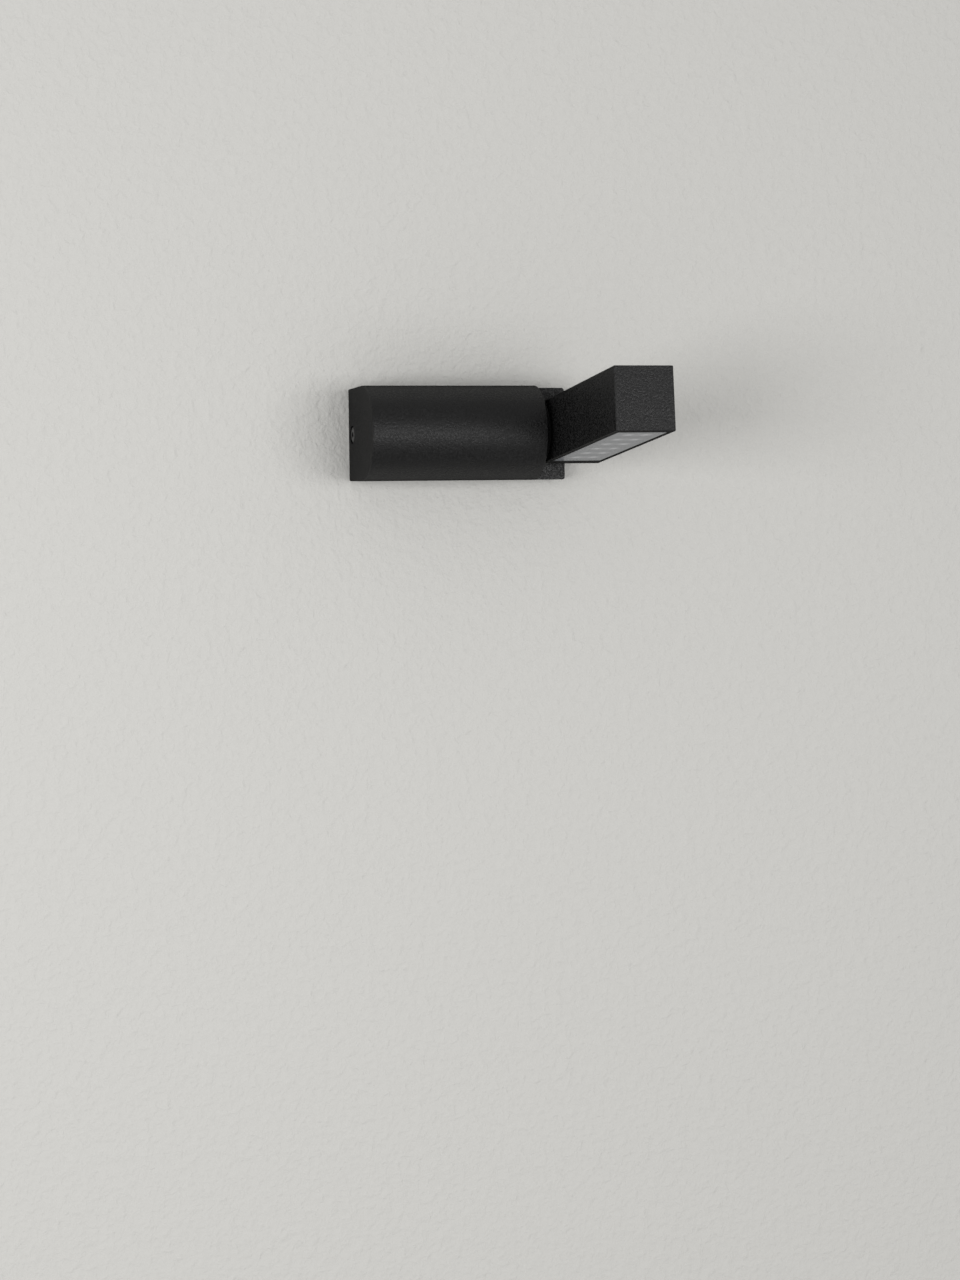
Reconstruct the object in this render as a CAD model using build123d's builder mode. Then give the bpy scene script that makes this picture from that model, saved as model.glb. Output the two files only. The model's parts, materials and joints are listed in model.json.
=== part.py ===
"""Pivoting spotlight wall light: a half-round base on the wall and a long box-shaped LED head.

The head turns on a horizontal shaft along the base's half-round front.
Millimetres. Origin at the centre of the mounting face on the wall, +X to the right along
the base, +Y into the wall, +Z up. "Depth" below is the distance out from the wall, along -Y.
"""
from build123d import *
from math import cos, radians, sin, sqrt
import os

os.makedirs("parts", exist_ok=True)

# ---- driving dimensions: the base ----
base_length = 116.0          # along X, ledge included
section_length = 94.5        # the half-round part
front_radius = 25.0          # half-round front, about the pivot axis
axis_depth = 31.0            # pivot axis, out from the wall
wall_half_height = 24.4      # half height at the wall, a little less than the front radius
ledge_clearance = 0.8        # from the flat shelf behind the head to the head's rear
housing_wall = 2.6
end_wall = 3.2
edge_break = 0.4             # small chamfer on the cast edges
ledge_corner_radius = 1.4
gasket_thickness = 0.8
gasket_width = 1.8
gasket_inset = 0.4

# ---- driving dimensions: the head ----
head_width = 31.0
head_height = 32.8           # the rear is rounded to half of this about the pivot
head_reach = 126.3           # front face, from the pivot axis
head_pitch = 5.8             # degrees up from level, as it stands in the photograph
head_gap = 4.2               # from the half-round end to the head's side
head_wall = 2.8              # from the side face to the lens
side_wall = 3.0              # the head's wall that carries the shaft flange
lens_rear = 9.4              # rear edge of the light opening, from the pivot
lens_front = 120.5           # front edge of the light opening
lens_thickness = 2.8
lens_recess = 0.15
lens_edge_break = 0.25
lens_seat = 1.6              # width of the step under the lens's edge
lens_gasket_thickness = 0.6
seal_lip = 1.0               # width of the seal's lip round the lens, which shows as a dark line
seal_recess = 0.25

# ---- driving dimensions: light engine ----
led_columns = 2
led_rows = 6
led_column_pitch = 8.7
led_row_pitch = 17.5
led_chip_size = 3.0
led_chip_height = 0.9
optic_radius = 2.8
optic_sides = 12
optic_height = 3.4
optic_taper = 14.0           # degrees
optic_sheet = 1.2            # the moulded sheet that joins the small lenses
optic_foot_radius = 1.2
board_thickness = 1.6
board_width = 20.6
board_length = 106.0
board_screw_radius = 1.25    # M2.5
board_screw_head_radius = 2.2
board_screw_head = 1.5
board_screw_grip = 6.0
board_screw_pitch = 70.0
pad_thickness = 0.5
spreader_groove = 2.4
spreader_groove_count = 4
spreader_floor = 4.0
spreader_length = 100.0
sheet_width = 20.0
sheet_length = 96.0
sheet_foot_x = 8.6
optic_gap = 1.0
foot_height = 1.2
connector_size = 4.6
connector_width = 12.0
connector_height = 3.0

# ---- driving dimensions: the pivot ----
hub_radius = 16.4
hub_flange = 2.2
hub_spigot_radius = 10.0
boss_radius = 14.0
boss_length = 4.0
shaft_radius = 5.0           # M10 x 1 hollow shaft
shaft_bore_radius = 3.0
shaft_running_clearance = 0.05
shaft_flange_radius = 12.5
shaft_flange_thickness = 2.5
bush_wall = 1.5
bush_flange_radius = 9.0
bush_flange_thickness = 0.7
collar_inner_radius = 9.6
collar_outer_radius = 14.6
collar_gap = 0.25            # running gap from collar to hub
seal_wall = 0.9
stop_pin_radius = 1.0
stop_pin_circle = 12.1       # radius of the circle that the stop pin runs on
stop_groove_clearance = 0.25
travel = 90.0                # degrees up and down from level
groove_slack = 1.5           # degrees
thrust_washer_thickness = 1.0
thrust_washer_radius = 8.6
spring_height = 1.4
spring_thickness = 0.6
nut_thickness = 4.0
nut_flats = 17.0
shaft_thread_past_nut = 1.0
flange_screw_radius = 1.5    # M3
flange_screw_circle = 9.0
flange_screw_head_radius = 2.6
flange_screw_head = 1.6
flange_screw_count = 3

# ---- driving dimensions: wall plate and fixings ----
plate_thickness = 2.0
plate_corner_radius = 2.0
wall_relief = 0.1            # what passes through the plate stops this short of the wall
plate_height = 38.0
plate_edge_gap = 0.6         # from the plate's flanges to the housing's walls
fixing_pitch = 80.0
fixing_slot_width = 5.0
fixing_slot_length = 10.0
cable_hole_radius = 7.0
cable_hole_offset = -12.0    # from the middle of the plate
flange_height = 20.0
flange_depth = 13.4
screw_flange_thickness = 3.0
end_screw_depth = 8.5        # the end screw's axis, out from the wall
end_screw_radius = 2.5       # M5
end_screw_head_radius = 4.4
end_recess_radius = 4.85
end_recess_depth = 2.0
end_screw_head = 1.7
end_screw_length = 8.0
hex_socket_flats = 3.0
hex_socket_depth = 1.3
hook_thickness = 1.6
hook_reach = 1.9
hook_height = 14.0
hook_depth = 6.0
fit_clearance = 0.2
thread_clearance = 0.04
cut_overrun = 1.0            # how far a cut runs past the face that it leaves through

# ---- driving dimensions: driver and wiring ----
driver_length = 58.0
driver_height = 30.0
driver_depth = 18.0
driver_front = 43.5          # depth of the driver's front face
driver_ear = 6.0
driver_ear_thickness = 2.0
driver_screw_radius = 1.5
driver_screw_head_radius = 2.8
driver_screw_head = 1.8
driver_screw_grip = 6.0
driver_boss_radius = 3.6
case_chamfer = 1.0
driver_end_gap = 1.8         # from the driver's ear to the housing's end wall
terminal_length = 16.0
terminal_height = 20.0
terminal_depth = 12.0
terminal_gap = 8.8           # from the grommet's lip to the terminal block
terminal_poles = 3
terminal_entry_length = 3.0
terminal_entry_height = 4.8   # over the plate
screw_well = 5.0
terminal_entry = 3.2         # square wire entries
terminal_screw_radius = 1.5
terminal_screw_sink = 1.0
earth_screw_radius = 2.0     # M4
earth_screw_head_radius = 3.6
earth_screw_head = 2.2
earth_slot_width = 0.9
earth_slot_depth = 1.0
earth_washer_thickness = 0.8
earth_washer_rim = 0.8       # past the screw's head
earth_inset = 20.2           # from the plate's screw flange
earth_z = 12.0
grommet_lip = 1.2
grommet_bore = 4.0
grommet_lip_thickness = 1.0
lead_radius = 0.9
lead_sides = 8
lead_bend = 3.0

# ---- places worked out from the values above ----
base_left = -base_length / 2
base_right = base_length / 2
section_right = base_left + section_length
total_depth = axis_depth + front_radius
head_left = section_right + head_gap
head_right = head_left + head_width
head_centre = (head_left + head_right) / 2
half_head = head_height / 2
ledge_depth = axis_depth - half_head - ledge_clearance
pitch = radians(head_pitch)
forward = (0, -cos(pitch), sin(pitch))
upward = (0, sin(pitch), cos(pitch))
downward = (0, -sin(pitch), -cos(pitch))
draft = (front_radius - wall_half_height) / (axis_depth - gasket_thickness)


def section_plane(x):
    """Plane across the base: first axis out from the wall, second up, normal to the left."""
    return Plane(origin=(x, 0, 0), x_dir=(0, -1, 0), z_dir=(-1, 0, 0))


def side_plane(x):
    """Plane across the head at the pivot: first axis forward, second up, normal to the left."""
    return Plane(origin=(x, -axis_depth, 0), x_dir=forward, z_dir=(-1, 0, 0))


def under_plane(height):
    """Plane along the head at a height over the pivot: first axis X, second forward, normal down."""
    origin = (head_centre, -axis_depth + upward[1] * height, upward[2] * height)
    return Plane(origin=origin, x_dir=(1, 0, 0), z_dir=downward)


def base_half_height(depth, margin=0.0):
    """Half height of the base's straight flanks at a depth, less an inward margin."""
    return wall_half_height + draft * (depth - gasket_thickness) - margin


def base_section(back, margin):
    """The base's D: drafted flanks from the depth called back, and the half-round front."""
    radius = front_radius - margin
    foot = base_half_height(back, margin)
    with BuildSketch() as outline:
        with BuildLine():
            Polyline((axis_depth, radius), (back, foot), (back, -foot), (axis_depth, -radius))
            ThreePointArc((axis_depth, -radius), (axis_depth + radius, 0), (axis_depth, radius))
        make_face()
    return outline.sketch


def head_side(front, margin):
    """The head's side: rounded rear about the pivot, straight top and underside."""
    radius = half_head - margin
    with BuildSketch() as outline:
        with BuildLine():
            Polyline((0, radius), (front, radius), (front, -radius), (0, -radius))
            ThreePointArc((0, -radius), (-radius, 0), (0, radius))
        make_face()
    return outline.sketch


def write(piece, name):
    """Label a finished piece and write its file."""
    piece.part.label = name
    export_step(piece.part, f"parts/{name}.step")


# ================= base =================
# Closed-cell gasket: a flat rim between the housing and the wall.
with BuildPart() as wall_gasket:
    with BuildSketch(Plane.XZ):
        Rectangle(base_length - 2 * gasket_inset, 2 * (wall_half_height - gasket_inset))
        Rectangle(base_length - 2 * (gasket_inset + gasket_width),
                  2 * (wall_half_height - gasket_inset - gasket_width), mode=Mode.SUBTRACT)
    extrude(amount=gasket_thickness)
write(wall_gasket, "wall_gasket")

# Cast housing: a half-round shell that is open to the wall, with a flat ledge behind the head.
cavity_left = base_left + end_wall
cavity_right = section_right - end_wall
ledge_right = base_right - end_wall
hook_pocket_depth = hook_reach + fit_clearance
driver_ear_x = driver_length / 2 + driver_ear / 2
driver_centre_x = cavity_left + driver_end_gap + driver_ear + driver_length / 2
with BuildPart() as base_housing:
    with BuildSketch(section_plane(base_right)):
        add(base_section(gasket_thickness, 0))
    extrude(amount=base_length)
    with BuildSketch(Plane.XZ.offset(ledge_depth)):
        with Locations(((section_right + base_right) / 2, 0)):
            Rectangle(base_right - section_right, 2 * front_radius + cut_overrun)
    extrude(amount=total_depth, mode=Mode.SUBTRACT)
    ledge_end = base_housing.faces().sort_by(Axis.X)[-1].edges().sort_by(Axis.Z)
    fillet([ledge_end[0], ledge_end[-1]], ledge_corner_radius)
    left_rim = base_housing.faces().sort_by(Axis.X)[0].edges().filter_by(GeomType.CIRCLE)
    right_rim = (base_housing.faces().filter_by(Plane.YZ).filter_by_position(
        Axis.X, section_right - 0.1, section_right + 0.1).edges().filter_by(GeomType.CIRCLE))
    chamfer(left_rim + right_rim, edge_break)
    with BuildSketch(section_plane(cavity_right)):
        add(base_section(0, housing_wall))
    extrude(amount=cavity_right - cavity_left, mode=Mode.SUBTRACT)
    with BuildSketch(Plane.XZ):
        with Locations(((cavity_right + ledge_right) / 2 - end_wall / 2, 0)):
            Rectangle(ledge_right - cavity_right + end_wall,
                      2 * base_half_height(0, housing_wall))
    extrude(amount=ledge_depth - housing_wall, mode=Mode.SUBTRACT)
    # inner boss and bore for the pivot
    with BuildSketch(section_plane(cavity_right + 0.01)):
        with Locations((axis_depth, 0)):
            Circle(boss_radius)
    extrude(amount=boss_length)
    with BuildSketch(section_plane(section_right)):
        with Locations((axis_depth, 0)):
            Circle(hub_spigot_radius + thread_clearance)
    extrude(amount=end_wall + boss_length + cut_overrun, mode=Mode.SUBTRACT)
    # two bosses that the driver is screwed to
    with BuildSketch(Plane.XZ.offset(driver_front)):
        with Locations((driver_centre_x - driver_ear_x, 0), (driver_centre_x + driver_ear_x, 0)):
            Circle(driver_boss_radius)
    extrude(until=Until.NEXT)
    with BuildSketch(Plane.XZ.offset(driver_front)):
        with Locations((driver_centre_x - driver_ear_x, 0), (driver_centre_x + driver_ear_x, 0)):
            Circle(driver_screw_radius + thread_clearance)
    extrude(amount=driver_screw_grip + cut_overrun, mode=Mode.SUBTRACT)
    # counterbored hole for the end screw, and the pocket that the plate's hook enters
    with Locations(section_plane(base_left)):
        with Locations((end_screw_depth, 0)):
            CounterBoreHole(end_screw_radius + fit_clearance, end_recess_radius,
                            end_recess_depth, depth=end_wall + cut_overrun)
    with BuildSketch(section_plane(ledge_right + hook_pocket_depth)):
        with Locations((hook_depth, 0)):
            Rectangle(hook_thickness + 2 * fit_clearance, hook_height + 2 * fit_clearance)
    extrude(amount=hook_pocket_depth + 0.5, mode=Mode.SUBTRACT)
write(base_housing, "base_housing")

# Pressed steel wall plate: slotted fixing holes, cable hole, a screw flange and a hook.
flange_left_x = cavity_left + plate_edge_gap
flange_right_x = ledge_right - plate_edge_gap
plate_centre = (flange_left_x + flange_right_x) / 2
plate_span = flange_right_x - flange_left_x
cable_hole_x = plate_centre + cable_hole_offset
earth_x = flange_left_x + earth_inset
terminal_x = cable_hole_x + cable_hole_radius + grommet_lip + terminal_gap + terminal_length / 2
with BuildPart() as wall_plate:
    with BuildSketch(Plane.XZ):
        with Locations((plate_centre, 0)):
            Rectangle(plate_span, plate_height)
    extrude(amount=plate_thickness)
    fillet(wall_plate.edges().filter_by(Axis.Y), plate_corner_radius)
    with BuildSketch(section_plane(flange_left_x + screw_flange_thickness)):
        with Locations((flange_depth / 2, 0)):
            Rectangle(flange_depth, flange_height)
    extrude(amount=screw_flange_thickness)
    with BuildSketch(section_plane(flange_right_x)):
        with Locations(((hook_depth + hook_thickness / 2) / 2, 0)):
            Rectangle(hook_depth + hook_thickness / 2, flange_height)
    extrude(amount=hook_thickness)
    with BuildSketch(section_plane(flange_right_x + plate_edge_gap + hook_reach)):
        with Locations((hook_depth, 0)):
            Rectangle(hook_thickness, hook_height)
    extrude(amount=plate_edge_gap + hook_reach)
    with BuildSketch(section_plane(flange_left_x + screw_flange_thickness)):
        with Locations((end_screw_depth, 0)):
            Circle(end_screw_radius + thread_clearance)
    extrude(amount=screw_flange_thickness, mode=Mode.SUBTRACT)
    with BuildSketch(Plane.XZ):
        with Locations((plate_centre - fixing_pitch / 2, 0), (plate_centre + fixing_pitch / 2, 0)):
            SlotOverall(fixing_slot_length, fixing_slot_width)
        with Locations((cable_hole_x, 0)):
            Circle(cable_hole_radius)
        with Locations((earth_x, earth_z)):
            Circle(earth_screw_radius + thread_clearance)
        with Locations((terminal_x, 0)):
            Circle(terminal_screw_radius + thread_clearance)
    extrude(amount=plate_thickness, mode=Mode.SUBTRACT)
write(wall_plate, "wall_plate")

# Button-head socket screw in the left end: it pulls the housing onto the plate.
end_screw_seat = base_left + end_recess_depth
with BuildPart() as end_screw:
    with BuildSketch(section_plane(end_screw_seat)):
        with Locations((end_screw_depth, 0)):
            Circle(end_screw_head_radius)
    extrude(amount=end_screw_head)
    fillet(end_screw.faces().sort_by(Axis.X)[0].edges(), end_screw_head * 0.6)
    with BuildSketch(section_plane(end_screw_seat + end_screw_length)):
        with Locations((end_screw_depth, 0)):
            Circle(end_screw_radius)
    extrude(amount=end_screw_length)
    with BuildSketch(section_plane(end_screw_seat - end_screw_head + hex_socket_depth)):
        with Locations((end_screw_depth, 0)):
            RegularPolygon(hex_socket_flats / 2, 6, major_radius=False)
    extrude(amount=hex_socket_depth, mode=Mode.SUBTRACT)
write(end_screw, "end_screw")

# Rubber grommet in the plate's cable hole.
grommet_groove = cable_hole_radius - fit_clearance
with BuildPart() as cable_grommet:
    with BuildSketch(Plane.XZ.offset(wall_relief)):
        with Locations((cable_hole_x, 0)):
            Circle(grommet_groove)
    extrude(amount=plate_thickness - wall_relief + grommet_lip_thickness)
    with BuildSketch(Plane.XZ.offset(plate_thickness)):
        with Locations((cable_hole_x, 0)):
            Circle(cable_hole_radius + grommet_lip)
    extrude(amount=grommet_lip_thickness)
    with BuildSketch(Plane.XZ):
        with Locations((cable_hole_x, 0)):
            Circle(grommet_bore)
    extrude(amount=plate_thickness + grommet_lip_thickness + cut_overrun, mode=Mode.SUBTRACT)
write(cable_grommet, "cable_grommet")

# Three-pole terminal block on the plate, its screw slots towards the installer.
pole_pitch = terminal_height / terminal_poles
pole_heights = [(i - (terminal_poles - 1) / 2) * pole_pitch for i in range(terminal_poles)]
screw_places = [(terminal_x + terminal_length / 4, height) for height in pole_heights]
entry_x = terminal_x - terminal_length / 2 + terminal_entry_length
terminal_front = plate_thickness + terminal_depth
entry_depth = plate_thickness + terminal_entry_height
with BuildPart() as terminal_block:
    with BuildSketch(Plane.XZ.offset(plate_thickness)):
        with Locations((terminal_x, 0)):
            Rectangle(terminal_length, terminal_height)
    extrude(amount=terminal_depth)
    chamfer(terminal_block.edges().filter_by(Axis.Z), case_chamfer)
    with BuildSketch(Plane.XZ.offset(terminal_front - screw_well)):
        with Locations(*screw_places):
            Circle(terminal_screw_radius + fit_clearance)
    extrude(amount=screw_well, mode=Mode.SUBTRACT)
    with BuildSketch(section_plane(terminal_x + terminal_length / 2)):
        with Locations(*[(entry_depth, height) for height in pole_heights]):
            Rectangle(terminal_entry, terminal_entry)
    extrude(amount=terminal_entry_length, mode=Mode.SUBTRACT)
    with BuildSketch(section_plane(entry_x)):
        with Locations(*[(entry_depth, height) for height in pole_heights]):
            Rectangle(terminal_entry, terminal_entry)
    extrude(amount=terminal_entry_length, mode=Mode.SUBTRACT)
write(terminal_block, "terminal_block")

# Clamp screws of the terminal block.
with BuildPart() as terminal_screws:
    with BuildSketch(Plane.XZ.offset(terminal_front - screw_well)):
        with Locations(*screw_places):
            Circle(terminal_screw_radius)
    extrude(amount=screw_well - terminal_screw_sink)
write(terminal_screws, "terminal_screws")

# Rivet that holds the terminal block to the plate.
with BuildPart() as terminal_rivet:
    with BuildSketch(Plane.XZ.offset(wall_relief)):
        with Locations((terminal_x, 0)):
            Circle(terminal_screw_radius)
    extrude(amount=plate_thickness - wall_relief)
write(terminal_rivet, "terminal_rivet")

# Earth screw and its washer on the plate.
with BuildPart() as earth_screw:
    with BuildSketch(Plane.XZ.offset(plate_thickness + earth_washer_thickness)):
        with Locations((earth_x, earth_z)):
            Circle(earth_screw_head_radius)
    extrude(amount=earth_screw_head)
    with BuildSketch(Plane.XZ.offset(wall_relief)):
        with Locations((earth_x, earth_z)):
            Circle(earth_screw_radius)
    extrude(amount=plate_thickness + earth_washer_thickness)
    slot_floor = plate_thickness + earth_washer_thickness + earth_screw_head - earth_slot_depth
    with BuildSketch(Plane.XZ.offset(slot_floor)):
        with Locations((earth_x, earth_z)):
            Rectangle(2 * earth_screw_head_radius, earth_slot_width)
            Rectangle(earth_slot_width, earth_screw_head_radius)
    extrude(amount=earth_slot_depth, mode=Mode.SUBTRACT)
write(earth_screw, "earth_screw")

with BuildPart() as earth_washer:
    with BuildSketch(Plane.XZ.offset(plate_thickness)):
        with Locations((earth_x, earth_z)):
            Circle(earth_screw_head_radius + earth_washer_rim)
            Circle(earth_screw_radius + thread_clearance, mode=Mode.SUBTRACT)
    extrude(amount=earth_washer_thickness)
write(earth_washer, "earth_washer")

# Potted LED driver with an ear at each end, screwed to the housing's bosses.
driver_back = driver_front - driver_depth
with BuildPart() as led_driver:
    with BuildSketch(Plane.XZ.offset(driver_back)):
        with Locations((driver_centre_x, 0)):
            Rectangle(driver_length, driver_height)
    extrude(amount=driver_depth)
    chamfer(led_driver.faces().sort_by(Axis.Y)[0].edges(), case_chamfer)
    with BuildSketch(Plane.XZ.offset(driver_front - driver_ear_thickness)):
        with Locations((driver_centre_x, 0)):
            Rectangle(driver_length + 2 * driver_ear, 2 * driver_boss_radius)
        with Locations((driver_centre_x - driver_ear_x, 0), (driver_centre_x + driver_ear_x, 0)):
            Circle(driver_screw_radius + fit_clearance, mode=Mode.SUBTRACT)
    extrude(amount=driver_ear_thickness)
write(led_driver, "led_driver")

with BuildPart() as driver_screws:
    head_back = driver_front - driver_ear_thickness - driver_screw_head
    with BuildSketch(Plane.XZ.offset(head_back)):
        with Locations((driver_centre_x - driver_ear_x, 0), (driver_centre_x + driver_ear_x, 0)):
            Circle(driver_screw_head_radius)
    extrude(amount=driver_screw_head)
    with BuildSketch(Plane.XZ.offset(head_back)):
        with Locations((driver_centre_x - driver_ear_x, 0), (driver_centre_x + driver_ear_x, 0)):
            Circle(driver_screw_radius)
    extrude(amount=driver_screw_head + driver_ear_thickness + driver_screw_grip)
write(driver_screws, "driver_screws")

# ================= pivot, fixed to the base =================
# Turned hub: a disc against the half-round end, its spigot through the housing's boss.
spigot_left = cavity_right - boss_length
hub_face = section_right + hub_flange
bush_outer = shaft_radius + shaft_running_clearance + bush_wall
with BuildPart() as pivot_hub:
    with BuildSketch(section_plane(hub_face)):
        with Locations((axis_depth, 0)):
            Circle(hub_radius)
    extrude(amount=hub_flange)
    chamfer(pivot_hub.faces().sort_by(Axis.X)[-1].edges(), edge_break)
    with BuildSketch(section_plane(section_right)):
        with Locations((axis_depth, 0)):
            Circle(hub_spigot_radius)
    extrude(amount=section_right - spigot_left)
    with BuildSketch(section_plane(hub_face)):
        with Locations((axis_depth, 0)):
            Circle(bush_outer + thread_clearance)
    extrude(amount=hub_face - spigot_left + cut_overrun, mode=Mode.SUBTRACT)
    with BuildSketch(section_plane(hub_face)):
        with Locations((axis_depth - stop_pin_circle, 0)):
            Circle(stop_pin_radius + thread_clearance)
    extrude(amount=hub_flange, mode=Mode.SUBTRACT)
write(pivot_hub, "pivot_hub")

# Flanged plain bush in the hub.
bush_face = hub_face + bush_flange_thickness
with BuildPart() as pivot_bush:
    with BuildSketch(section_plane(hub_face)):
        with Locations((axis_depth, 0)):
            Circle(bush_outer)
    extrude(amount=hub_face - spigot_left)
    with BuildSketch(section_plane(bush_face)):
        with Locations((axis_depth, 0)):
            Circle(bush_flange_radius)
    extrude(amount=bush_flange_thickness)
    with BuildSketch(section_plane(bush_face)):
        with Locations((axis_depth, 0)):
            Circle(shaft_radius + shaft_running_clearance)
    extrude(amount=bush_face - spigot_left, mode=Mode.SUBTRACT)
write(pivot_bush, "pivot_bush")

# Stop pin: pressed in the hub, it runs in the collar's half-circle groove.
stop_pin_end = head_left - 0.5
with BuildPart() as stop_pin:
    with BuildSketch(section_plane(stop_pin_end)):
        with Locations((axis_depth - stop_pin_circle, 0)):
            Circle(stop_pin_radius)
    extrude(amount=stop_pin_end - section_right - 0.05)
write(stop_pin, "stop_pin")

# ================= pivot, fixed to the head =================
# Collar on the head's side with the groove that limits the travel.
groove_half_width = stop_pin_radius + stop_groove_clearance
collar_left = hub_face + collar_gap
rearward = 180.0                         # the pin's bearing when the head is level
groove_start = rearward - travel - groove_slack
groove_end = rearward + travel + groove_slack
with BuildPart() as pivot_collar:
    with BuildSketch(side_plane(head_left)):
        Circle(collar_outer_radius)
        Circle(collar_inner_radius, mode=Mode.SUBTRACT)
    extrude(amount=head_left - collar_left)
    with BuildSketch(side_plane(head_left)):
        with BuildLine(mode=Mode.PRIVATE) as groove_line:
            CenterArc((0, 0), stop_pin_circle, groove_start, groove_end - groove_start)
        SlotArc(groove_line.edge(), 2 * groove_half_width)
    extrude(amount=head_left - collar_left, mode=Mode.SUBTRACT)
write(pivot_collar, "pivot_collar")

# Rubber ring around the collar that closes the gap to the hub.
with BuildPart() as pivot_seal:
    with BuildSketch(side_plane(head_left)):
        Circle(collar_outer_radius + thread_clearance + seal_wall)
        Circle(collar_outer_radius + thread_clearance, mode=Mode.SUBTRACT)
    extrude(amount=head_left - collar_left)
write(pivot_seal, "pivot_seal")

# Friction washer: it holds the head where it is put.
with BuildPart() as friction_washer:
    with BuildSketch(side_plane(head_left)):
        Circle(bush_flange_radius)
        Circle(shaft_radius + fit_clearance, mode=Mode.SUBTRACT)
    extrude(amount=head_left - bush_face)
write(friction_washer, "friction_washer")

# Hollow shaft with a flange inside the head, and a thread for the nut inside the base.
nut_right = spigot_left - thrust_washer_thickness - spring_height
shaft_left = nut_right - nut_thickness - shaft_thread_past_nut
flange_seat = head_left + side_wall
flange_face = flange_seat + shaft_flange_thickness
with BuildPart() as pivot_shaft:
    with BuildSketch(side_plane(flange_face)):
        Circle(shaft_flange_radius)
        with PolarLocations(flange_screw_circle, flange_screw_count):
            Circle(flange_screw_radius + thread_clearance, mode=Mode.SUBTRACT)
    extrude(amount=shaft_flange_thickness)
    with BuildSketch(side_plane(flange_seat)):
        Circle(shaft_radius)
    extrude(amount=flange_seat - shaft_left)
    with BuildSketch(side_plane(flange_face)):
        Circle(shaft_bore_radius)
    extrude(amount=flange_face - shaft_left, mode=Mode.SUBTRACT)
    chamfer(pivot_shaft.faces().sort_by(Axis.X)[0].edges(), edge_break)
write(pivot_shaft, "pivot_shaft")

with BuildPart() as thrust_washer:
    with BuildSketch(side_plane(spigot_left)):
        Circle(thrust_washer_radius)
        Circle(shaft_radius + fit_clearance, mode=Mode.SUBTRACT)
    extrude(amount=thrust_washer_thickness)
write(thrust_washer, "thrust_washer")

# Conical disc spring between the thrust washer and the nut.
spring_right = spigot_left - thrust_washer_thickness
spring_inner = shaft_radius + fit_clearance
with BuildPart() as disc_spring:
    with BuildSketch(Plane(origin=(0, -axis_depth, 0), x_dir=(1, 0, 0), z_dir=(0, 0, 1))):
        with BuildLine():
            Polyline((spring_right, thrust_washer_radius),
                     (spring_right - spring_thickness, thrust_washer_radius),
                     (nut_right, spring_inner),
                     (nut_right + spring_thickness, spring_inner), close=True)
        make_face()
    revolve(axis=Axis((0, -axis_depth, 0), (1, 0, 0)))
write(disc_spring, "disc_spring")

with BuildPart() as shaft_nut:
    with BuildSketch(side_plane(nut_right)):
        RegularPolygon(nut_flats / 2, 6, major_radius=False)
        Circle(shaft_radius + thread_clearance, mode=Mode.SUBTRACT)
    extrude(amount=nut_thickness)
write(shaft_nut, "shaft_nut")

with BuildPart() as flange_screws:
    with BuildSketch(side_plane(flange_face + flange_screw_head)):
        with PolarLocations(flange_screw_circle, flange_screw_count):
            Circle(flange_screw_head_radius)
    extrude(amount=flange_screw_head)
    with BuildSketch(side_plane(flange_face)):
        with PolarLocations(flange_screw_circle, flange_screw_count):
            Circle(flange_screw_radius)
    extrude(amount=shaft_flange_thickness + side_wall - edge_break)
write(flange_screws, "flange_screws")

# ================= head =================
# Heights over the pivot of the stack behind the light opening, from the lens upwards.
lens_under = -half_head + lens_recess
lens_top = lens_under + lens_thickness
seat_height = lens_top + lens_gasket_thickness
optic_tip = lens_top + optic_gap
sheet_under = optic_tip + optic_height
sheet_top = sheet_under + optic_sheet
board_under = sheet_top + foot_height
board_top = board_under + board_thickness
pad_top = board_top + pad_thickness
ceiling = half_head - head_wall
lens_width = head_width - 2 * head_wall
lens_length = lens_front - lens_rear
lens_centre = (lens_front + lens_rear) / 2
opening_width = lens_width + 2 * seal_lip
opening_length = lens_length + 2 * seal_lip
chamber_width = lens_width - 2 * lens_seat
chamber_length = lens_length - 2 * lens_seat
flange_pocket_radius = shaft_flange_radius + 4 * fit_clearance
lead_height = board_under - connector_height / 2
passage_floor = lead_height - 3 * lead_radius
passage_front = lens_rear + 2 * lens_seat

# Cast housing: a long box with a rounded rear, open along its underside for the light.
with BuildPart() as head_housing:
    with BuildSketch(side_plane(head_right)):
        add(head_side(head_reach, 0))
    extrude(amount=head_width)
    sides = head_housing.faces().filter_by(Plane.YZ).edges()
    front_edges = head_housing.faces().sort_by(Axis.Y)[0].edges().filter_by(Axis.X)
    chamfer(sides + front_edges, edge_break)
    with BuildSketch(under_plane(-half_head)):
        with Locations((0, lens_centre)):
            Rectangle(opening_width, opening_length)
    extrude(amount=-(seat_height + half_head), mode=Mode.SUBTRACT)
    with BuildSketch(under_plane(seat_height)):
        with Locations((0, lens_centre)):
            Rectangle(chamber_width, chamber_length)
    extrude(amount=-(ceiling - seat_height), mode=Mode.SUBTRACT)
    with BuildSketch(side_plane(head_centre + chamber_width / 2)):
        Circle(flange_pocket_radius)
    extrude(amount=head_centre + chamber_width / 2 - flange_seat, mode=Mode.SUBTRACT)
    with BuildSketch(under_plane(passage_floor)):
        with Locations((0, passage_front / 2)):
            Rectangle(chamber_width, passage_front)
    extrude(amount=-(ceiling - passage_floor), mode=Mode.SUBTRACT)
    with BuildSketch(side_plane(flange_seat)):
        Circle(shaft_radius + fit_clearance)
        with PolarLocations(flange_screw_circle, flange_screw_count):
            Circle(flange_screw_radius + thread_clearance)
    extrude(amount=side_wall, mode=Mode.SUBTRACT)
write(head_housing, "head_housing")

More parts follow.
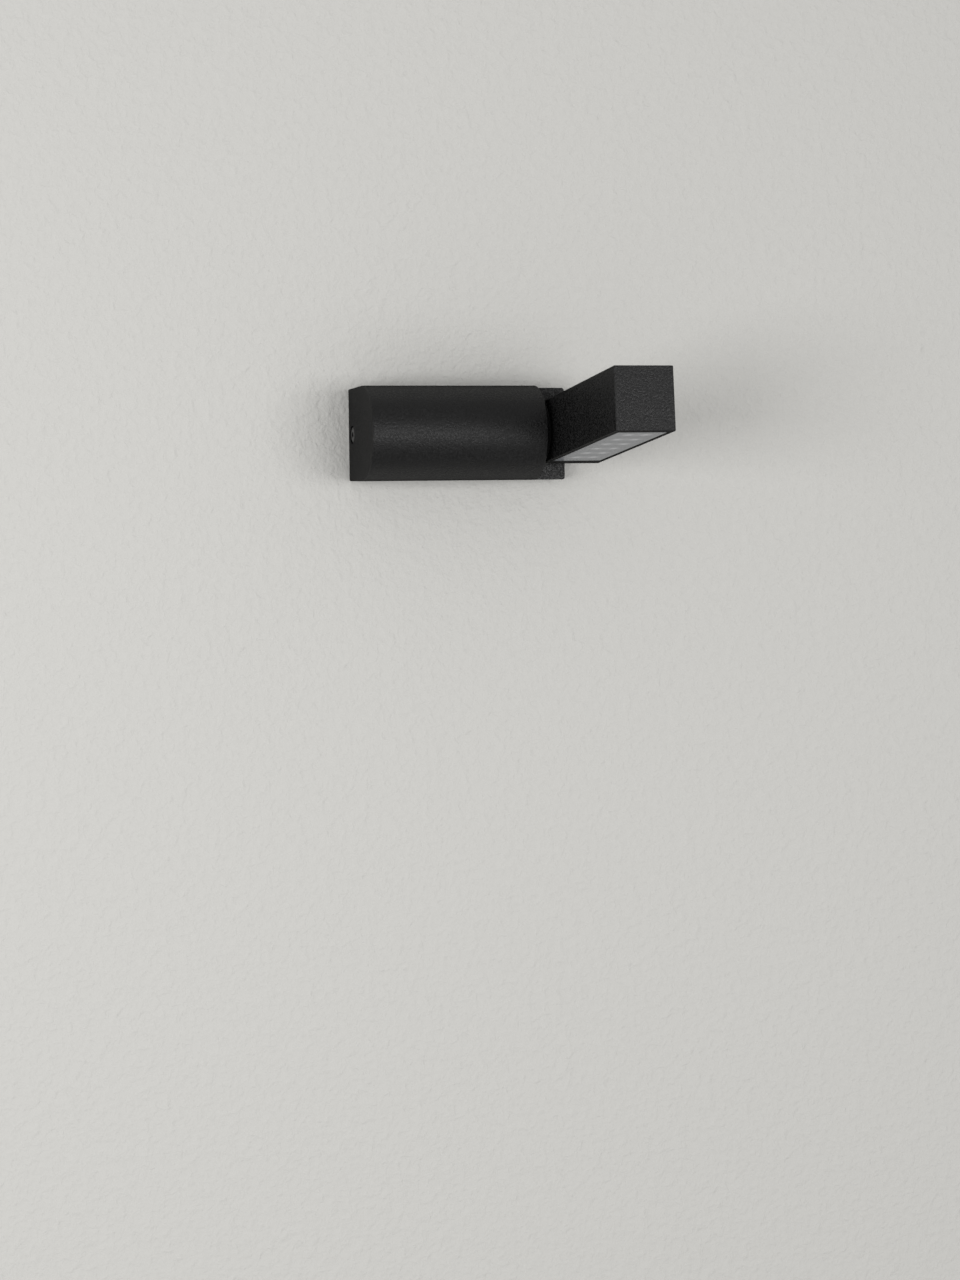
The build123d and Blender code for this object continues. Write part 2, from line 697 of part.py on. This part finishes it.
# Cover lens, flush with the rim.
with BuildPart() as cover_lens:
    with BuildSketch(under_plane(lens_top)):
        with Locations((0, lens_centre)):
            Rectangle(lens_width, lens_length)
    extrude(amount=lens_thickness)
    chamfer(cover_lens.faces().sort_by(Axis.Z)[0].edges(), lens_edge_break)
write(cover_lens, "cover_lens")

# Seal between the lens and its seat, with a lip that fills the gap round the lens.
seal_width = opening_width - 2 * thread_clearance
seal_length = opening_length - 2 * thread_clearance
with BuildPart() as lens_gasket:
    with BuildSketch(under_plane(seat_height)):
        with Locations((0, lens_centre)):
            Rectangle(seal_width, seal_length)
            Rectangle(chamber_width, chamber_length, mode=Mode.SUBTRACT)
    extrude(amount=lens_gasket_thickness)
    with BuildSketch(under_plane(lens_top)):
        with Locations((0, lens_centre)):
            Rectangle(seal_width, seal_length)
            Rectangle(lens_width + 2 * thread_clearance, lens_length + 2 * thread_clearance,
                      mode=Mode.SUBTRACT)
    extrude(amount=half_head + lens_top - seal_recess)
write(lens_gasket, "lens_gasket")

# Moulded optics: a sheet with one tapered lens under each chip, standing on feet.
led_centre = lens_centre
board_screw_places = [(0, led_centre - board_screw_pitch / 2),
                      (0, led_centre + board_screw_pitch / 2)]
with BuildPart() as led_optics:
    with BuildSketch(under_plane(sheet_top)):
        with Locations((0, led_centre)):
            Rectangle(sheet_width, sheet_length)
        with Locations(*board_screw_places):
            Circle(board_screw_head_radius + fit_clearance, mode=Mode.SUBTRACT)
    extrude(amount=optic_sheet)
    with BuildSketch(under_plane(sheet_under)):
        with Locations((0, led_centre)):
            with GridLocations(led_column_pitch, led_row_pitch, led_columns, led_rows):
                RegularPolygon(optic_radius, optic_sides)
    extrude(amount=optic_height, taper=optic_taper)
    with BuildSketch(under_plane(board_under)):
        with Locations((0, led_centre)):
            with GridLocations(2 * sheet_foot_x, led_row_pitch * (led_rows - 1), 2, 2):
                Circle(optic_foot_radius)
    extrude(amount=foot_height)
write(led_optics, "led_optics")

# LED chips, soldered to the board.
with BuildPart() as led_chips:
    with BuildSketch(under_plane(board_under)):
        with Locations((0, led_centre)):
            with GridLocations(led_column_pitch, led_row_pitch, led_columns, led_rows):
                Rectangle(led_chip_size, led_chip_size)
    extrude(amount=led_chip_height)
write(led_chips, "led_chips")

with BuildPart() as led_board:
    with BuildSketch(under_plane(board_top)):
        with Locations((0, led_centre)):
            Rectangle(board_width, board_length)
        with Locations(*board_screw_places):
            Circle(board_screw_radius + fit_clearance, mode=Mode.SUBTRACT)
    extrude(amount=board_thickness)
write(led_board, "led_board")

with BuildPart() as heat_pad:
    with BuildSketch(under_plane(pad_top)):
        with Locations((0, led_centre)):
            Rectangle(board_width, board_length)
        with Locations(*board_screw_places):
            Circle(board_screw_radius + fit_clearance, mode=Mode.SUBTRACT)
    extrude(amount=pad_thickness)
write(heat_pad, "heat_pad")

# Aluminium heat spreader: a grooved bar that fills the housing over the board.
spreader_width = chamber_width - 2 * fit_clearance
groove_pitch = spreader_width / (spreader_groove_count + 0.5)
with BuildPart() as heat_spreader:
    with BuildSketch(under_plane(ceiling)):
        with Locations((0, led_centre)):
            Rectangle(spreader_width, spreader_length)
    extrude(amount=ceiling - pad_top)
    with BuildSketch(under_plane(ceiling)):
        with Locations((0, led_centre)):
            with GridLocations(groove_pitch, 1, spreader_groove_count, 1):
                Rectangle(spreader_groove, spreader_length + cut_overrun)
    extrude(amount=ceiling - pad_top - spreader_floor, mode=Mode.SUBTRACT)
    with BuildSketch(under_plane(pad_top)):
        with Locations(*board_screw_places):
            Circle(board_screw_radius + thread_clearance)
    extrude(amount=-board_screw_grip, mode=Mode.SUBTRACT)
write(heat_spreader, "heat_spreader")

with BuildPart() as board_screws:
    with BuildSketch(under_plane(board_under)):
        with Locations(*board_screw_places):
            Circle(board_screw_head_radius)
    extrude(amount=board_screw_head)
    with BuildSketch(under_plane(board_under)):
        with Locations(*board_screw_places):
            Circle(board_screw_radius)
    extrude(amount=-(board_thickness + pad_thickness + board_screw_grip - fit_clearance))
write(board_screws, "board_screws")

# Plug-in connector at the rear end of the board.
connector_u = led_centre - board_length / 2 + connector_size / 2 + fit_clearance
with BuildPart() as board_connector:
    with BuildSketch(under_plane(board_under)):
        with Locations((0, connector_u)):
            Rectangle(connector_width, connector_size)
    extrude(amount=connector_height)
    chamfer(board_connector.edges().filter_by(Axis.X).group_by(Axis.Z)[0], 0.4)
write(board_connector, "board_connector")

# ================= leads inside the lamp =================


def head_point(x, ahead, height):
    """A point of the head at X, so far ahead of the pivot and so far over it."""
    return (x, -axis_depth + forward[1] * ahead + upward[1] * height,
            forward[2] * ahead + upward[2] * height)


def lead(points, bend):
    """A round wire along straight runs joined by arcs."""
    with BuildPart() as wire:
        with BuildLine() as route:
            FilletPolyline(*points, radius=bend)
        with BuildSketch(Plane(origin=route.line @ 0, z_dir=route.line % 0)):
            RegularPolygon(lead_radius, lead_sides)
        sweep(path=route.line)
    return wire.part


lead_slack_x = head_centre
connector_rear = connector_u - connector_size / 2
with BuildPart() as head_lead:
    add(lead([head_point(shaft_left, 0, 0), head_point(lead_slack_x, 0, 0),
              head_point(lead_slack_x, 0, lead_height),
              head_point(lead_slack_x, connector_rear, lead_height)], lead_bend))
write(head_lead, "head_lead")

driver_right = driver_centre_x + driver_length / 2
with BuildPart() as driver_lead:
    with BuildSketch(section_plane(shaft_left)):
        with Locations((axis_depth, 0)):
            RegularPolygon(lead_radius, lead_sides)
    extrude(amount=shaft_left - driver_right)
write(driver_lead, "driver_lead")

mains_x = cable_hole_x + cable_hole_radius + grommet_lip + 2 * lead_radius
with BuildPart() as mains_leads:
    for height in (pole_heights[0], pole_heights[-1]):
        add(lead([(entry_x, -entry_depth, height), (mains_x, -entry_depth, height),
                  (mains_x, -driver_back, height)], lead_bend))
write(mains_leads, "mains_leads")
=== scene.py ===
"""Looks of the pivoting spotlight wall light, in metres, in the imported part's own frame.

Black textured powder coat on a half-round wall base and a long box-shaped head, a frosted lens
with twelve LEDs behind it, and a pale roller-painted wall. +Y goes into the wall, +Z is up.
"""
import json
from math import cos, radians, sin

import bpy
from mathutils import Matrix, Vector


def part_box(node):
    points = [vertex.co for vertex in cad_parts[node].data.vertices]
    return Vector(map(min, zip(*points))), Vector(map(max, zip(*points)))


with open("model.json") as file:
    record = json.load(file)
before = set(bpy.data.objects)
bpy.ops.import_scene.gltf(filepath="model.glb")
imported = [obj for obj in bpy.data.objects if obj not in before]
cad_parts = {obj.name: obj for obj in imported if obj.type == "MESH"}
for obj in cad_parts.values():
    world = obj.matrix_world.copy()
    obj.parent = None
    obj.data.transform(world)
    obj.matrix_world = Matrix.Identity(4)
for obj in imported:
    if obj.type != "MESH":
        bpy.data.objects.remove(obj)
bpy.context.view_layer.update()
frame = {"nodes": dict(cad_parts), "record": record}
nodes = frame["nodes"]

# ---------------------------------------------------------------- sizes and places
MM = 0.001
HEAD_PITCH = radians(5.8)
ALONG_BASE = (1, 0, 0)
FORWARD = Vector((0, -cos(HEAD_PITCH), sin(HEAD_PITCH)))  # from the pivot to the head's front
LED_ROWS = 6
LED_ROW_PITCH = 17.5 * MM
SPOT_COLUMN_PITCH = 9.2 * MM  # of the two columns of painted highlight spots, as the lens shows them
SPOT_LEAD = 2.5 * MM          # how far ahead of the chips their painted highlight spots lie in the frosted lens

lens_low, lens_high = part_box("cover_lens")
head_centre_x = (lens_low.x + lens_high.x) / 2
chips_low, chips_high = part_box("led_chips")
spots_centre = ((chips_low + chips_high) / 2).dot(FORWARD) + SPOT_LEAD


# ---------------------------------------------------------------- shader tools
class Value:
    """A number that varies over a surface: sums and products of it add Math nodes."""

    def __init__(self, finish, socket):
        self.finish = finish
        self.socket = socket

    def _math(self, operation, *terms):
        return self.finish.node("ShaderNodeMath", {"operation": operation}, dict(enumerate(terms)))

    def __add__(self, other):
        return self._math("ADD", self, other)

    __radd__ = __add__

    def __sub__(self, other):
        return self._math("SUBTRACT", self, other)

    def __rsub__(self, other):
        return self._math("SUBTRACT", other, self)

    def __mul__(self, other):
        return self._math("MULTIPLY", self, other)

    __rmul__ = __mul__

    def __truediv__(self, other):
        return self._math("DIVIDE", self, other)

    def __pow__(self, other):
        return self._math("POWER", self, other)

    def __abs__(self):
        return self._math("ABSOLUTE", self)

    def clamped(self):
        return self._math("MINIMUM", self._math("MAXIMUM", self, 0.0), 1.0)


class Finish:
    """One material, made node by node."""

    def __init__(self, name):
        self.material = bpy.data.materials.new(name)
        self.material.use_nodes = True
        self.tree = self.material.node_tree
        self.tree.nodes.clear()
        self.output = self.tree.nodes.new("ShaderNodeOutputMaterial")

    def node(self, kind, settings=None, inputs=None, output=0):
        """Adds a node: its settings first, then the values or links of its sockets."""
        made = self.tree.nodes.new(kind)
        for key, value in (settings or {}).items():
            setattr(made, key, value)
        for key, value in (inputs or {}).items():
            if isinstance(value, Value):
                self.tree.links.new(value.socket, made.inputs[key])
            else:
                made.inputs[key].default_value = value
        return Value(self, made.outputs[output])

    def place(self):
        """The surface's own coordinates, in metres, which stay with a moving piece."""
        return self.node("ShaderNodeTexCoord", output="Object")

    def noise(self, size, detail=2.0, roughness=0.5, distortion=0.0, vector=None):
        """Noise whose lumps are about this size in metres, from 0 to 1."""
        inputs = {"Vector": vector or self.place(), "Scale": 1.0 / size, "Detail": detail,
                  "Roughness": roughness, "Distortion": distortion}
        return self.node("ShaderNodeTexNoise", {"noise_dimensions": "3D"}, inputs, "Fac")

    def along(self, vector, axis):
        """How far a place lies along an axis."""
        settings = {"operation": "DOT_PRODUCT"}
        return self.node("ShaderNodeVectorMath", settings, {0: vector, 1: tuple(axis)}, "Value")

    def mix(self, share, low, high):
        """A colour between two colours."""
        inputs = {0: share, 6: (*low, 1.0), 7: (*high, 1.0)}
        return self.node("ShaderNodeMix", {"data_type": "RGBA"}, inputs, 2)

    def bump(self, height, depth, strength=1.0):
        """Relief of a depth in metres."""
        inputs = {"Height": height, "Distance": depth, "Strength": strength}
        return self.node("ShaderNodeBump", None, inputs)

    def shader(self, **inputs):
        """A surface shader, with its inputs by name."""
        named = {key.replace("_", " "): value for key, value in inputs.items()}
        return self.node("ShaderNodeBsdfPrincipled", None, named)

    def blended(self, share, first, second):
        """The material, finished with two shaders and the second one's share."""
        inputs = {0: share, 1: first, 2: second}
        return self.finished(self.node("ShaderNodeMixShader", None, inputs))

    def finished(self, shader):
        """The material, finished with one shader."""
        self.tree.links.new(shader.socket, self.output.inputs["Surface"])
        return self.material


# ---------------------------------------------------------------- finishes
MIDDLE = 0.5  # the mean of a noise

COAT_DARK = (0.0008, 0.0008, 0.0009)
COAT_PALE = (0.0265, 0.0265, 0.0268)
COAT_GRAIN = 1.0 * MM
COAT_FINE_GRAIN = 0.35 * MM
COAT_CLOUD = 28 * MM
COAT_TONE = 0.20            # the colour's mean place between dark and pale
COAT_TONE_GRAIN = 4.0       # how strongly the grain shows in the colour
COAT_TONE_FINE_GRAIN = 3.0
COAT_RELIEF = 0.26 * MM
COAT_ROUGHNESS = 0.37
COAT_SPECULAR = 0.37
DRY_ROUGHNESS = 0.9
DRY_SPECULAR = 0.03
DRYING_START = 0.36         # how far a surface is turned away where its gloss starts to fade
DRYING_SLOPE = 1.8
DRY_SHARE = 0.24            # how dry the coat is at the grain's mean, where it faces the eye
DRY_GRAIN = 3.6             # how strongly the grain shows in the gloss
DRY_FINE_GRAIN = 2.0


def powder_coat():
    """Black powder coat: a fine dry grain with little gloss where it is seen at a low angle."""
    finish = Finish("powder_black")
    place = finish.place()
    grain = finish.noise(COAT_GRAIN, roughness=0.65, vector=place)
    fine = finish.noise(COAT_FINE_GRAIN, detail=1.0, vector=place)
    cloud = finish.noise(COAT_CLOUD, vector=place)
    tone = ((grain - MIDDLE) * COAT_TONE_GRAIN + (fine - MIDDLE) * COAT_TONE_FINE_GRAIN
            + COAT_TONE)
    colour = finish.mix(tone.clamped(), COAT_DARK, COAT_PALE)
    relief = finish.bump(grain + fine * 0.3, COAT_RELIEF)
    rough = COAT_ROUGHNESS + (grain - MIDDLE) * 0.5 + (cloud - MIDDLE) * 0.05
    gloss = finish.shader(Base_Color=colour, Roughness=rough.clamped(), Normal=relief,
                          Specular_IOR_Level=COAT_SPECULAR)
    dry = finish.shader(Base_Color=colour, Roughness=DRY_ROUGHNESS, Normal=relief,
                        Specular_IOR_Level=DRY_SPECULAR)
    turned_away = finish.node("ShaderNodeLayerWeight", None, {"Blend": 0.5}, "Facing")
    low_angle = ((turned_away - DRYING_START) * DRYING_SLOPE).clamped()
    glossy = 1 - low_angle
    specks = (((grain - MIDDLE) * DRY_GRAIN + (fine - MIDDLE) * DRY_FINE_GRAIN) * glossy
              + DRY_SHARE)
    dryness = low_angle + glossy * specks.clamped()
    return finish.blended(dryness, gloss, dry)


LENS_DARK = (0.190, 0.199, 0.216)
LENS_PALE = (0.500, 0.513, 0.537)
LENS_FROST = 0.25 * MM
LENS_RELIEF = 0.004 * MM
LENS_HAZE = 6 * MM
LENS_ROUGHNESS = 0.14
SPOT_HALF = (3.4 * MM, 4.6 * MM)   # half sizes, across and along the head
CORE_HALF = (1.5 * MM, 2.6 * MM)
BAND_HALF = (11.5 * MM, 5.2 * MM)
# painted highlights: how brightly the LED optics' spots, cores and bands are painted into the lens
# colour
SPOT_HIGHLIGHT = 0.55
CORE_HIGHLIGHT = 0.35
BAND_HIGHLIGHT = 0.28


def soft_ellipse(across, along, half):
    """1 at the middle of an ellipse, falling to 0 at its edge."""
    return (1 - (across / half[0]) ** 2 - (along / half[1]) ** 2).clamped()


def frosted_lens():
    """Frosted grey cover lens with painted highlights: each LED's optics show as a soft pale
    painted spot in a fainter painted band.
    """
    finish = Finish("lens_opal")
    place = finish.place()
    across = finish.along(place, ALONG_BASE) - head_centre_x
    ahead = finish.along(place, FORWARD) - spots_centre
    half_row = LED_ROW_PITCH / 2
    to_row = finish.node("ShaderNodeMath", {"operation": "PINGPONG"},
                         {0: ahead + half_row * (LED_ROWS + 1), 1: half_row})
    to_column = abs(abs(across) - SPOT_COLUMN_PITCH / 2)
    spot = soft_ellipse(to_column, to_row, SPOT_HALF)
    core = soft_ellipse(to_column, to_row, CORE_HALF)
    band = soft_ellipse(across, to_row, BAND_HALF)
    haze = finish.noise(LENS_HAZE, vector=place)
    # painted highlights of the LED optics behind the lens, as pale spots in fainter bands, over a
    # random haze in the frost
    painted_light_and_haze = spot * SPOT_HIGHLIGHT + core * CORE_HIGHLIGHT + band * BAND_HIGHLIGHT + (haze - MIDDLE) * 0.06
    colour = finish.mix(painted_light_and_haze.clamped(), LENS_DARK, LENS_PALE)
    frost = finish.noise(LENS_FROST, vector=place)
    relief = finish.bump(frost, LENS_RELIEF, 0.5)
    rough = LENS_ROUGHNESS + (frost - MIDDLE) * 0.06
    gloss = finish.shader(Base_Color=colour, Roughness=rough, Normal=relief)
    dry = finish.shader(Base_Color=colour, Roughness=0.8, Normal=relief, Specular_IOR_Level=0.1)
    return finish.blended(0.5, gloss, dry)


METAL_MARKS = 0.3 * MM
METAL_STAINS = 6 * MM
METAL_RELIEF = 0.012 * MM


def turned_metal(name, pale, dark, roughness):
    """Bare or plated metal with fine marks and a faint stain."""
    finish = Finish(name)
    marks = finish.noise(METAL_MARKS, detail=3.0)
    stain = finish.noise(METAL_STAINS)
    colour = finish.mix((stain * 0.6 + marks * 0.5 - 0.05).clamped(), dark, pale)
    relief = finish.bump(marks, METAL_RELIEF, 0.7)
    rough = roughness + (marks - MIDDLE) * 0.2
    return finish.finished(
        finish.shader(Base_Color=colour, Metallic=1.0, Normal=relief, Roughness=rough))


MOULDED_GRAIN = 0.5 * MM
MOULDED_SHADES = 9 * MM
MOULDED_RELIEF = 0.02 * MM


def moulded(name, pale, dark, roughness, specular=0.5):
    """Moulded plastic, rubber or lacquer with a fine surface grain."""
    finish = Finish(name)
    skin = finish.noise(MOULDED_GRAIN)
    shade = finish.noise(MOULDED_SHADES)
    colour = finish.mix((shade * 0.7 + skin * 0.3).clamped(), dark, pale)
    relief = finish.bump(skin, MOULDED_RELIEF, 0.6)
    rough = roughness + (skin - MIDDLE) * 0.15
    return finish.finished(finish.shader(
        Base_Color=colour, Normal=relief, Specular_IOR_Level=specular, Roughness=rough))


FINISHES = {"powder_black": powder_coat(), "lens_opal": frosted_lens()}

METALS = {  # slot: pale colour, dark colour, roughness
    "screw_black": ((0.055, 0.055, 0.058), (0.022, 0.022, 0.024), 0.34),
    "zinc_steel": ((0.62, 0.62, 0.60), (0.42, 0.42, 0.41), 0.34),
    "spring_steel": ((0.42, 0.40, 0.37), (0.25, 0.25, 0.27), 0.30),
    "bare_aluminium": ((0.74, 0.74, 0.75), (0.56, 0.56, 0.58), 0.32),
    "bush_bronze": ((0.62, 0.42, 0.22), (0.42, 0.27, 0.13), 0.33),
}
MOULDINGS = {  # slot: pale colour, dark colour, roughness, and the rubber's low gloss
    "rubber_black": ((0.012, 0.012, 0.012), (0.006, 0.006, 0.006), 0.72, 0.25),
    "washer_polymer": ((0.76, 0.73, 0.65), (0.66, 0.63, 0.55), 0.45),
    "optic_clear": ((0.82, 0.84, 0.86), (0.70, 0.72, 0.75), 0.12),
    "board_white": ((0.82, 0.82, 0.79), (0.74, 0.74, 0.70), 0.28),
    "chip_yellow": ((0.86, 0.70, 0.24), (0.76, 0.58, 0.16), 0.40),
    "pad_grey": ((0.32, 0.34, 0.36), (0.24, 0.26, 0.28), 0.75),
    "driver_white": ((0.78, 0.78, 0.75), (0.70, 0.70, 0.67), 0.45),
    "terminal_white": ((0.80, 0.80, 0.76), (0.72, 0.72, 0.68), 0.40),
    "lead_grey": ((0.16, 0.165, 0.175), (0.10, 0.105, 0.11), 0.50),
}
for slot, look in METALS.items():
    FINISHES[slot] = turned_metal(slot, *look)
for slot, look in MOULDINGS.items():
    FINISHES[slot] = moulded(slot, *look)

for entry in frame["record"]["subparts"]:
    piece = nodes[entry["node"]]
    piece.data.materials.clear()
    piece.data.materials.append(FINISHES[entry["material_slot"]])


# ---------------------------------------------------------------- the wall behind
WALL_SIZE = 5.0
WALL_GAP = 0.2 * MM    # between the lamp's back and the wall
HOLE_INSET = 1.0 * MM  # from the gasket's rim to the hole behind the lamp
WALL_PALE = (0.632, 0.626, 0.603)
WALL_DARK = (0.564, 0.558, 0.537)
WALL_NAP = 5.5 * MM
WALL_STIPPLE = 2.2 * MM
WALL_PATCH = 0.55
WALL_RELIEF = 1.1 * MM
WALL_PAINTED_FALLOFF = 0.6        # painted light falloff: how much darker the wall is painted in a metre to the right, where less light falls


def roller_paint():
    """Matt roller-painted wall with a painted light falloff, darker to the right, clear when it is
    seen from behind.
    """
    finish = Finish("wall_paint")
    place = finish.place()
    nap = finish.noise(WALL_NAP, detail=3.0, roughness=0.55, distortion=0.3, vector=place)
    stipple = finish.noise(WALL_STIPPLE, vector=place)
    patch = finish.noise(WALL_PATCH, detail=1.0, vector=place)
    aside = finish.along(place, ALONG_BASE)
    # the tone holds a painted light falloff, darker to the right, over the paint's own random nap,
    # stipple and patches
    tone = (MIDDLE - aside * WALL_PAINTED_FALLOFF + (patch - MIDDLE) * 0.3 + (nap - MIDDLE) * 0.45
            + (stipple - MIDDLE) * 0.2)
    colour = finish.mix(tone.clamped(), WALL_DARK, WALL_PALE)
    relief = finish.bump(nap + stipple * 0.35, WALL_RELIEF)
    paint = finish.shader(Base_Color=colour, Roughness=0.85, Specular_IOR_Level=0.15,
                          Normal=relief)
    clear = finish.node("ShaderNodeBsdfTransparent")
    behind = finish.node("ShaderNodeNewGeometry", output="Backfacing")
    return finish.blended(behind, paint, clear)


def make_wall():
    """The wall, with a hole behind the gasket's rim so that light reaches the lamp's back."""
    rim_low, rim_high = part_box("wall_gasket")
    half = WALL_SIZE / 2
    outer = (-half, -half, half, half)
    hole = (rim_low.x + HOLE_INSET, rim_low.z + HOLE_INSET,
            rim_high.x - HOLE_INSET, rim_high.z - HOLE_INSET)
    corners = [corner for left, low, right, high in (outer, hole)
               for corner in ((left, WALL_GAP, low), (right, WALL_GAP, low),
                              (right, WALL_GAP, high), (left, WALL_GAP, high))]
    sides = [(i, (i + 1) % 4, (i + 1) % 4 + 4, i + 4) for i in range(4)]
    mesh = bpy.data.meshes.new("wall")
    mesh.from_pydata(corners, [], sides)
    mesh.materials.append(roller_paint())
    wall = bpy.data.objects.new("wall", mesh)
    bpy.context.scene.collection.objects.link(wall)


make_wall()


# ---------------------------------------------------------------- light
STUDIO_WHITE = (1.0, 0.995, 0.985, 1.0)
WORLD_STRENGTH = 0.435
WORLD_FALL = 0.06  # how much brighter it is straight above, and darker straight below

LAMPS = {  # name: place, width, height, watts
    "right_panel": ((0.82, -2.1, -0.13), 1.5, 0.7, 17.8),
    "left_panel": ((-1.2, -1.45, -0.10), 0.8, 0.6, 14.3),
    "back_panel": ((0.6, 1.9, 1.1), 1.4, 1.4, 13.0),
}


def soft_lamp(name, place, width, height, watts):
    """A large soft panel that faces the wall light."""
    data = bpy.data.lights.new(name, "AREA")
    data.shape = "RECTANGLE"
    data.size = width
    data.size_y = height
    data.energy = watts
    lamp = bpy.data.objects.new(name, data)
    lamp.location = place
    lamp.rotation_euler = (-Vector(place)).to_track_quat("-Z", "Y").to_euler()
    bpy.context.scene.collection.objects.link(lamp)


def make_world():
    """A pale studio, a little brighter above than below."""
    world = bpy.data.worlds.new("studio")
    world.use_nodes = True
    tree = world.node_tree
    light = tree.nodes["Background"]
    light.inputs["Color"].default_value = STUDIO_WHITE
    direction = tree.nodes.new("ShaderNodeTexCoord")
    split = tree.nodes.new("ShaderNodeSeparateXYZ")
    strength = tree.nodes.new("ShaderNodeMath")
    strength.operation = "MULTIPLY_ADD"
    strength.inputs[1].default_value = WORLD_FALL
    strength.inputs[2].default_value = WORLD_STRENGTH
    tree.links.new(direction.outputs["Generated"], split.inputs[0])
    tree.links.new(split.outputs["Z"], strength.inputs[0])
    tree.links.new(strength.outputs[0], light.inputs["Strength"])
    bpy.context.scene.world = world


for lamp_name, panel in LAMPS.items():
    soft_lamp(lamp_name, *panel)
make_world()


# ---------------------------------------------------------------- camera
CAMERA_PLACE = Vector((-0.4220, -1.5839, -0.0498))
CAMERA_YAW = radians(15.364)
CAMERA_PITCH = radians(-2.127)
CAMERA_ROLL = radians(-0.736)
CAMERA_LENS = 85.45
CAMERA_SENSOR = 36.0


def make_camera():
    """The photograph's camera, turned towards the wall light, with no shift."""
    data = bpy.data.cameras.new("camera")
    data.sensor_fit = "VERTICAL"
    data.sensor_height = CAMERA_SENSOR
    data.lens = CAMERA_LENS
    camera = bpy.data.objects.new("camera", data)
    look = Vector((sin(CAMERA_YAW) * cos(CAMERA_PITCH), cos(CAMERA_YAW) * cos(CAMERA_PITCH),
                   sin(CAMERA_PITCH)))
    right = Vector((cos(CAMERA_YAW), -sin(CAMERA_YAW), 0))
    over = right.cross(look)
    rolled_right = right * cos(CAMERA_ROLL) + over * sin(CAMERA_ROLL)
    rolled_over = over * cos(CAMERA_ROLL) - right * sin(CAMERA_ROLL)
    turn = Matrix((rolled_right, rolled_over, -look)).transposed().to_4x4()
    camera.matrix_world = Matrix.Translation(CAMERA_PLACE) @ turn
    bpy.context.scene.collection.objects.link(camera)
    bpy.context.scene.camera = camera


make_camera()
bpy.context.scene.view_settings.view_transform = "Standard"
